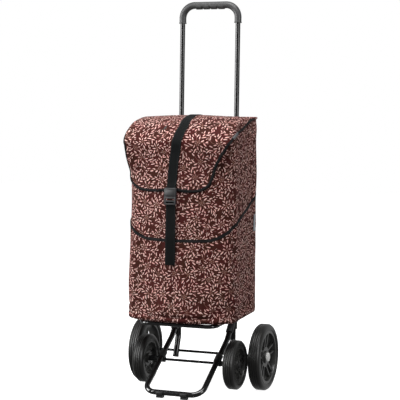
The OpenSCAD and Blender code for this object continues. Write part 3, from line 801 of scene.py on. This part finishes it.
def pocket_layer(wall, mats):
    """The second layer of fabric over the bag's lower part, open along its top edge as a pocket."""
    c = np.linspace(-POCKET_END, POCKET_END, 150)
    share = np.linspace(0, 1, 56)
    cc, tt = np.meshgrid(c, share)
    low = wall_ends(forward(cc))[0] + 0.0015
    top = pocket_top(cc)
    z = low + (top - low) * tt
    gape = 0.0008 * ease(tt, 0.75, 1.0) * (1 - ease(np.abs(cc), 0.20, 0.33))
    hug = POCKET_LIFT * (1 - 0.7 * ease(np.abs(cc), POCKET_END - 0.02, POCKET_END))
    points = wall.at(cc, wall_v(cc, z), hug + gape)
    uvs = np.stack([cc, z], -1)
    mesh = grid_mesh("pocket_layer", points, uvs)
    obj = new_object("pocket_layer", mesh, mats["print_pocket"])
    thicken(obj, 0.0012, -1.0, mats["lining"])
    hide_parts("pocket_panel")
    area = float(np.trapz(top[-1] - low[-1], c))
    float((top - low).max())
    return Cloth(c, share, points), obj


def tape_along(name, edge, out, inward, mats, body, width, thick):
    """Folded binding tape over a cloth's edge: its fold lies just past the edge."""
    centres = edge + inward * (width / 2 - 0.0012)
    mesh = sweep_mesh(name, centres, inward, out, oval(width, thick, 16, 2.6))
    return new_object(name, mesh, mats["tape"], body)


def edge_frames(edge, facing, towards):
    """Outward and inward directions along an edge. towards is a point on the cloth's side of each point."""
    tangent = unit(np.gradient(edge, axis=0))
    inward = unit(np.cross(facing, tangent))
    side = np.sign(np.sum(inward * (towards - edge), axis=-1, keepdims=True))
    return facing, inward * side


def pocket_tape(pocket, mats):
    c = np.linspace(-POCKET_END, POCKET_END, 220)
    edge = pocket.at(c, 1.0, -0.0006)
    out, inward = edge_frames(edge, pocket.facing(c, 1.0), pocket.at(c, 0.93))
    obj = tape_along("pocket_edge_tape", edge, out, inward, mats, "frame", 0.0096, 0.0034)
    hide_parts("pocket_binding")
    return obj


FLAP_RIGHT = [(0.004, 0.158), (0.062, 0.167), (0.132, 0.186), (0.182, 0.192), (0.235, 0.183), (0.293, 0.163),
              (0.326, 0.141), (0.361, 0.122), (0.398, 0.109), (0.412, 0.101), (0.422, 0.087), (0.4275, 0.070),
              (0.429, 0.050)]
FLAP_LEFT = [(0.004, 0.158), (0.062, 0.165), (0.132, 0.177), (0.182, 0.180), (0.235, 0.175), (0.300, 0.165),
             (0.345, 0.172), (0.374, 0.173), (0.392, 0.166), (0.407, 0.152), (0.419, 0.134), (0.4265, 0.113),
             (0.429, 0.090)]
FLAP_END = 0.429


def flap_rows():
    """Rows of the flap from its back edge down, closer together round its bottom corners."""
    closer = np.sin(np.linspace(0, math.pi / 2, 26))[1:]
    return np.r_[np.linspace(0.004, 0.38, 88), 0.38 + (FLAP_END - 0.38) * closer]


def flap_cloth(wall):
    """The flap's grid. Columns are shares from the left edge, 0, to the right edge, 1."""
    s = flap_rows()
    share = np.linspace(0, 1, 84)
    left, right = -curve_through(s, FLAP_LEFT), curve_through(s, FLAP_RIGHT)
    tt, ss = np.meshgrid(share, s)
    cc = left[:, None] + (right - left)[:, None] * tt
    points = lid_form(cc, ss, FLAP_LIFT)
    normals = grid_normals(points, False) * -1
    free = ease(ss, 0.03, 0.12)
    waves = ripple(points, (0.11, 0.11, 0.09), 0.0032, 12.0) + ripple(points, (0.04, 0.05, 0.05), 0.0010, 5.0)
    points = points + normals * (np.abs(waves) * free)[..., None]
    cloth = Cloth(share, s, points, outward=-1.0)
    cloth.left, cloth.right, cloth.uvs = left, right, np.stack([cc, -ss], -1)
    sewn = 1 - ease(ss, 0.012, 0.03)
    under_strap = 1 - ease(np.abs(cc - strap_c(ss)), 0.010, 0.020)
    settle(cloth, np.maximum(sewn, under_strap * ease(ss, 0.36, 0.40)), 0.006, 0.15, 0.004, 0.0012)
    rest_on(cloth, wall, FLAP_LIFT)
    return cloth


def flap_share(flap, c, s):
    """The flap's column share at arc length c across."""
    left, right = np.interp(s, flap.rows, flap.left), np.interp(s, flap.rows, flap.right)
    return (c - left) / (right - left)


def flap_sheet(flap, mats):
    mesh = grid_mesh("flap_cover", flap.points, flap.uvs, flip=True)
    obj = new_object("flap_cover", mesh, mats["print_flap"], "flap")
    thicken(obj, FLAP_T, -1.0, mats["lining"])
    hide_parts("flap")
    return obj


def flap_tape(flap, mats):
    """Binding round the flap's sides and bottom, in one length."""
    s = flap.rows
    bottom = np.linspace(0, 1, 60)[1:-1]
    column = np.r_[np.zeros(len(s)), bottom, np.ones(len(s))]
    row = np.r_[s, np.full(len(bottom), FLAP_END), s[::-1]]
    edge = flap.at(column, row, -FLAP_T / 2)
    run = run_of(edge)
    even = np.linspace(0, run[-1], 330)
    column, row = np.interp(even, run, column), np.interp(even, run, row)
    edge = flap.at(column, row, -FLAP_T / 2)
    towards = flap.at(column * 0.9 + 0.05, np.minimum(row, FLAP_END - 0.012), -FLAP_T / 2)
    out, inward = edge_frames(edge, flap.facing(column, row), towards)
    obj = tape_along("flap_edge_tape", edge, out, inward, mats, "flap", 0.0088, 0.0052)
    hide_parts("flap_binding")
    return obj


STRAP_PATH = [(0, 0.000), (0.12, 0.003), (0.20, 0.010), (0.235, 0.011), (0.265, 0.009), (0.292, 0.005),
              (0.320, 0.000), (0.357, -0.005), (0.394, -0.008), (0.423, -0.010), (0.50, -0.011),
              (0.60, -0.011), (0.66, -0.012)]


def strap_c(s):
    return curve_through(s, STRAP_PATH)


def ribbon(name, centres, side, up, mats, body, width=STRAP_W, thick=STRAP_T):
    mesh = sweep_mesh(name, centres, side, up, oval(width, thick, 20, 6.0))
    return new_object(name, mesh, mats["webbing"], body)


def ribbon_frames(centres, facing):
    tangent = unit(np.gradient(centres, axis=0))
    side = unit(np.cross(tangent, facing))
    return side, unit(np.cross(side, tangent))


def strap_over_flap(flap, mats):
    """Webbing sewn along the flap from its back edge to the buckle."""
    s = np.linspace(0.003, FLAP_END + 0.002, 120)
    share = flap_share(flap, strap_c(s), s)
    lift = 0.0013 + 0.0040 * ease(s, 0.40, FLAP_END)
    centres = flap.at(share, s, lift)
    side, up = ribbon_frames(centres, flap.facing(share, s))
    obj = ribbon("strap_over_flap", centres, side, up, mats, "flap")
    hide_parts("strap_upper")
    return obj


def front_place(wall, z, lift):
    """Points on the bag's front along the strap, at heights z."""
    c = strap_c(run_at_height(z))
    v = wall_v(c, z)
    return wall.at(c, v, lift), wall.facing(c, v)


def strap_on_front(wall, mats):
    """Webbing sewn to the bag below the buckle."""
    z = np.linspace(0.578, 0.394, 60)
    lift = 0.0058 - 0.0016 * ease(z, 0.475, 0.50) + 0.0018 * ease(z, 0.545, 0.575)
    centres, facing = front_place(wall, z, lift)
    side, up = ribbon_frames(centres, facing)
    obj = ribbon("strap_on_front", centres, side, up, mats, "frame")
    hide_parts("strap_lower")
    return obj


def lay_on(obj, centre, out):
    """Turns a piece built at the origin (front along -Y, up along Z) to lie on the bag."""
    upright = Vector((0, 0, 1))
    up = (upright - out * out.dot(upright)).normalized()
    side = up.cross(-out) * -1
    turn = Matrix((side, -out, up)).transposed().to_4x4()
    obj.data.transform(Matrix.Translation(Vector(centre)) @ turn)


def buckle(wall, mats):
    """Side-release buckle: the socket hangs on the flap's strap, the ladder plug is on the bag's strap."""
    width = STRAP_W + 0.007
    deep = 0.0085
    top_z, split_z, low_z = 0.6155, 0.5905, 0.5665
    bits = {"flap": [], "frame": []}

    def bit(body, size, at, radius):
        bits[body].append(block("bit", size, at, radius, mats["buckle_plastic"], body))

    socket_h = top_z - split_z
    bit("flap", (width, deep, socket_h), (0, 0, split_z + socket_h / 2), 0.0022)
    bit("flap", (width * 0.66, 0.002, socket_h * 0.66), (0, -deep / 2, split_z + socket_h * 0.46), 0.0009)
    bit("flap", (STRAP_W + 0.001, 0.003, 0.0028), (0, -deep / 2 + 0.0004, top_z - 0.0030), 0.0009)
    for s in (-1, 1):
        bit("frame", (0.0042, deep * 0.85, split_z - low_z),
            (s * (width / 2 - 0.0021), 0, (split_z + low_z) / 2), 0.0014)
    for z, h in ((split_z - 0.0035, 0.0060), (split_z - 0.0135, 0.0042), (low_z + 0.0022, 0.0044)):
        bit("frame", (width - 0.002, deep * 0.62, h), (0, -0.0004, z), 0.0014)
    centre, facing = front_place(wall, np.array([(top_z + low_z) / 2]), 0.0112)
    out = Vector(facing[0])
    made = []
    halves = (("flap", "buckle_socket", "buckle_female"), ("frame", "buckle_plug", "buckle_male"))
    for body, name, node in halves:
        piece = merge(name, bits[body])
        piece.data.transform(Matrix.Translation((0, 0, -(top_z + low_z) / 2)))
        lay_on(piece, centre[0], out)
        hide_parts(node)
        made.append(piece)
    return made


def woven_tag(flap, mats):
    """Folded tag of plain woven tape, stitched over the flap's right edge."""
    s = np.linspace(0.220, 0.262, 22)
    right = np.interp(s, flap.rows, flap.right)
    place = np.linspace(-0.0055, 0.0055, 12)
    ss, pp = np.meshgrid(s, place)
    share = flap_share(flap, right[None, :] - 0.0035 - pp, ss)
    lift = 0.0036 - 0.0018 * (pp / 0.0055) ** 2
    over = np.clip(share - 1, 0, None) * 2 * right[None, :]
    points = flap.at(np.clip(share, 0, 1), ss, lift)
    outwards = unit(flap.at(1.0, s, 0.0) - flap.at(0.94, s, 0.0))
    points = points + outwards[None] * over[..., None]
    mesh = grid_mesh("side_tag", points, np.stack([ss, pp], -1))
    obj = new_object("side_tag", mesh, mats["tag"], "flap")
    thicken(obj, 0.0008, 0.0)
    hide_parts("flap_tag")
    return obj


def reflective_patch(wall, mats):
    """Strip of reflective cloth let into the right side's back seam."""
    c = np.linspace(POCKET_END - 0.036, POCKET_END - 0.022, 6)
    z = np.linspace(0.484, 0.534, 12)
    cc, zz = np.meshgrid(c, z)
    mesh = grid_mesh("side_reflector", wall.at(cc, wall_v(cc, zz), 0.0040), np.stack([cc, zz], -1))
    obj = new_object("side_reflector", mesh, mats["reflective"])
    thicken(obj, 0.0010, 0.0)
    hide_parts("reflective_patch")
    return obj


def hangers(mats):
    """Webbing loops that hang the bag's back on the upper crossbar."""
    low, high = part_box("upper_crossbar")
    bar_y, bar_z, bar_r = (low.y + high.y) / 2, (low.z + high.z) / 2, (high.z - low.z) / 2
    left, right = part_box("bag_hangers")[0].x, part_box("bag_hangers")[1].x
    width = 0.024
    parts = []
    for x in (left + width / 2, right - width / 2):
        turn = np.linspace(math.radians(-60), math.radians(235), 28)
        arc = np.stack([np.full(28, x), bar_y + (bar_r + 0.0011) * np.cos(turn),
                        bar_z + (bar_r + 0.0011) * np.sin(turn)], -1)
        tail = np.stack([np.full(8, x), np.full(8, BACK_Y + 0.0017),
                         np.linspace(bar_z - 0.004, bar_z - 0.034, 8)], -1)
        path = smooth_path(np.vstack([arc, tail]), 2)
        tangent = unit(np.gradient(path, axis=0))
        side = np.tile([1.0, 0, 0], (len(path), 1))
        parts.append(ribbon("bit", path, side, unit(np.cross(side, tangent)), mats, "frame", width, 0.0014))
    obj = merge("hanger_loops", parts)
    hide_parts("bag_hangers")


# ---------------------------------------------------------------- wheels and frame

def tyre_section(radius, rim_r, width):
    """Closed section of a tyre: grooved tread, round shoulders, a raised ring on each side and a bead."""
    half = width / 2
    groove, grooves, pitch = 0.0017, 4, width * 0.17
    tread = []
    for k in range(grooves):
        x = (k - (grooves - 1) / 2) * pitch
        crown = radius - 0.9 * x * x
        tread += [(crown, x - groove / 2 - 0.0005), (crown - 0.0006, x - groove / 2),
                  (crown - 0.0020, x - groove / 2 + 0.0002), (crown - 0.0020, x + groove / 2 - 0.0002),
                  (crown - 0.0006, x + groove / 2), (crown, x + groove / 2 + 0.0005)]
    shoulder = [(radius - down, half - short) for down, short in
                ((0.0012, 0.0062), (0.0030, 0.0036), (0.0060, 0.0014), (0.0095, 0.0004), (0.0120, 0.0001))]
    side = [(rim_r + 0.0062, half), (rim_r + 0.0056, half - 0.0010), (rim_r + 0.0046, half - 0.0010),
            (rim_r + 0.0040, half), (rim_r + 0.0018, half - 0.0004), (rim_r, half - 0.0026)]
    right = shoulder + side
    left = [(r, -x) for r, x in reversed(right)]
    return tread + right + left


def wheels(mats):
    for place in ("rear", "front"):
        for hand in ("left", "right"):
            node = f"{place}_tyre_{hand}"
            low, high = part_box(node)
            rim_low, rim_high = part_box(f"{place}_rim_{hand}")
            section = tyre_section((high.z - low.z) / 2, (rim_high.z - rim_low.z) / 2, high.x - low.x)
            obj = lathe(f"{place}_tyre_ribbed_{hand}", section, (low + high) / 2, mats["tyre_rubber"],
                        f"{place}_wheel_{hand}")
            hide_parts(node)


def finish_cad(mats):
    """Gives every CAD node its material, and softens the edges of the moulded ones."""
    slots = {row["node"]: row["material_slot"] for row in frame["record"]["subparts"]}
    dark = {"rear_axle", "front_axle", "tray_pivot_pins"}
    soft_edge = ("rim", "hubcap", "foot_clip", "bracket", "holder", "collar", "plug")
    for name, obj in NODES.items():
        slot = slots[name]
        mat = mats["black_axle"] if name in dark else mats.get(slot)
        if mat is None:
            continue
        obj.data.materials.clear()
        obj.data.materials.append(mat)
        if any(word in name for word in soft_edge):
            weld = obj.modifiers.new("weld", "WELD")
            weld.merge_threshold = 0.00002
            bevel = obj.modifiers.new("edge", "BEVEL")
            bevel.width, bevel.segments, bevel.harden_normals = 0.0007, 2, True
            bevel.limit_method, bevel.angle_limit = "ANGLE", math.radians(40)


# ---------------------------------------------------------------- stage

def camera():
    """The view: a long lens, a little above the bag's middle, from the front and to the right."""
    yaw, pitch, roll = (math.radians(a) for a in (21.24, 2.75, 0.87))
    ahead = Vector((-math.sin(yaw) * math.cos(pitch), math.cos(yaw) * math.cos(pitch), -math.sin(pitch)))
    level = Vector((math.cos(yaw), math.sin(yaw), 0))
    rise = level.cross(ahead)
    right = level * math.cos(roll) + rise * math.sin(roll)
    up = rise * math.cos(roll) - level * math.sin(roll)
    data = bpy.data.cameras.new("camera")
    data.lens = 121.74
    data.sensor_width = 36
    data.clip_end = 60
    obj = add_object("camera", data)
    turn = Matrix((right, up, -ahead)).transposed().to_4x4()
    obj.matrix_world = Matrix.Translation((1.48247, -3.7835, 0.76768)) @ turn
    bpy.context.scene.camera = obj


def area_light(name, place, target, size, power):
    data = bpy.data.lights.new(name, "AREA")
    data.shape = "RECTANGLE"
    data.size, data.size_y = size
    data.energy = power
    obj = add_object(name, data)
    obj.location = place
    obj.rotation_euler = (Vector(target) - Vector(place)).to_track_quat("-Z", "Y").to_euler()


def stage():
    """White floor and a white surround that only the camera sees, and soft studio light."""
    size = 14
    mesh = bpy.data.meshes.new("floor")
    corners = [(-size, -size, 0), (size, -size, 0), (size, size, 0), (-size, size, 0)]
    mesh.from_pydata(corners, [], [(0, 1, 2, 3)])
    floor = add_object("floor", mesh)
    m = Shade("studio_floor", {"Roughness": 0.9, "Specular IOR Level": 0.0, "Emission Strength": 0.88,
                               "Emission Color": (1, 1, 1, 1)})
    m.base(m.mix(m.noise(m.place(), 0.4, 2.0), (0.80, 0.80, 0.80, 1), (0.84, 0.84, 0.84, 1)))
    mesh.materials.append(m.material)
    floor.visible_glossy = False
    floor.visible_diffuse = False
    bpy.ops.mesh.primitive_uv_sphere_add(segments=48, ring_count=24, radius=size * 1.5)
    surround = bpy.context.object
    surround.name = "surround"
    m = Shade("studio_surround", {"Roughness": 1.0, "Base Color": (0, 0, 0, 1), "Specular IOR Level": 0.0,
                                  "Emission Strength": 1.0, "Emission Color": (1, 1, 1, 1)})
    surround.data.materials.append(m.material)
    for kind in ("diffuse", "glossy", "transmission", "shadow", "volume_scatter"):
        setattr(surround, f"visible_{kind}", False)
    world = bpy.data.worlds.new("studio")
    world.use_nodes = True
    tree = world.node_tree
    tree.nodes["Background"].inputs[0].default_value = (1, 1, 1, 1)
    direction = tree.nodes.new("ShaderNodeTexCoord").outputs["Generated"]
    split = tree.nodes.new("ShaderNodeSeparateXYZ")
    put(tree, split.inputs[0], direction)
    behind = Num(tree, split.outputs[1]).over(0.60, 0.5)
    put(tree, tree.nodes["Background"].inputs[1], behind * 0.35 + 0.13)
    bpy.context.scene.world = world
    middle = (0, -0.05, 0.6)
    area_light("top_softbox", (0.2, -1.0, 3.0), middle, (2.0, 2.0), 74)
    area_light("left_softbox", (-2.9, -1.3, 1.3), middle, (1.2, 2.6), 92)
    area_light("right_softbox", (3.1, -1.4, 1.3), middle, (0.8, 2.4), 32)
    area_light("front_strip", (-1.9, -2.7, 1.7), (0, 0, 0.5), (0.25, 2.0), 27)
    bpy.context.scene.view_settings.view_transform = "Standard"


# ---------------------------------------------------------------- making it all

def fold_with_tray(pieces):
    """Gives each of the bag's pieces a mesh of its own."""
    for piece in pieces:
        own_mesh(piece)


def main():
    mats = make_materials()
    camera()
    stage()
    finish_cad(mats)
    wall = make_wall()
    body = bag_body(wall, mats)
    pocket, pocket_obj = pocket_layer(wall, mats)
    flap = flap_cloth(wall)
    soft = [body, pocket_obj, pocket_tape(pocket, mats), flap_sheet(flap, mats), flap_tape(flap, mats),
            strap_over_flap(flap, mats), strap_on_front(wall, mats), woven_tag(flap, mats),
            reflective_patch(wall, mats)]
    soft += buckle(wall, mats) + [base_board(mats)] + hinge_rolls(mats)
    hangers(mats)
    wheels(mats)
    fold_with_tray(soft)


main()
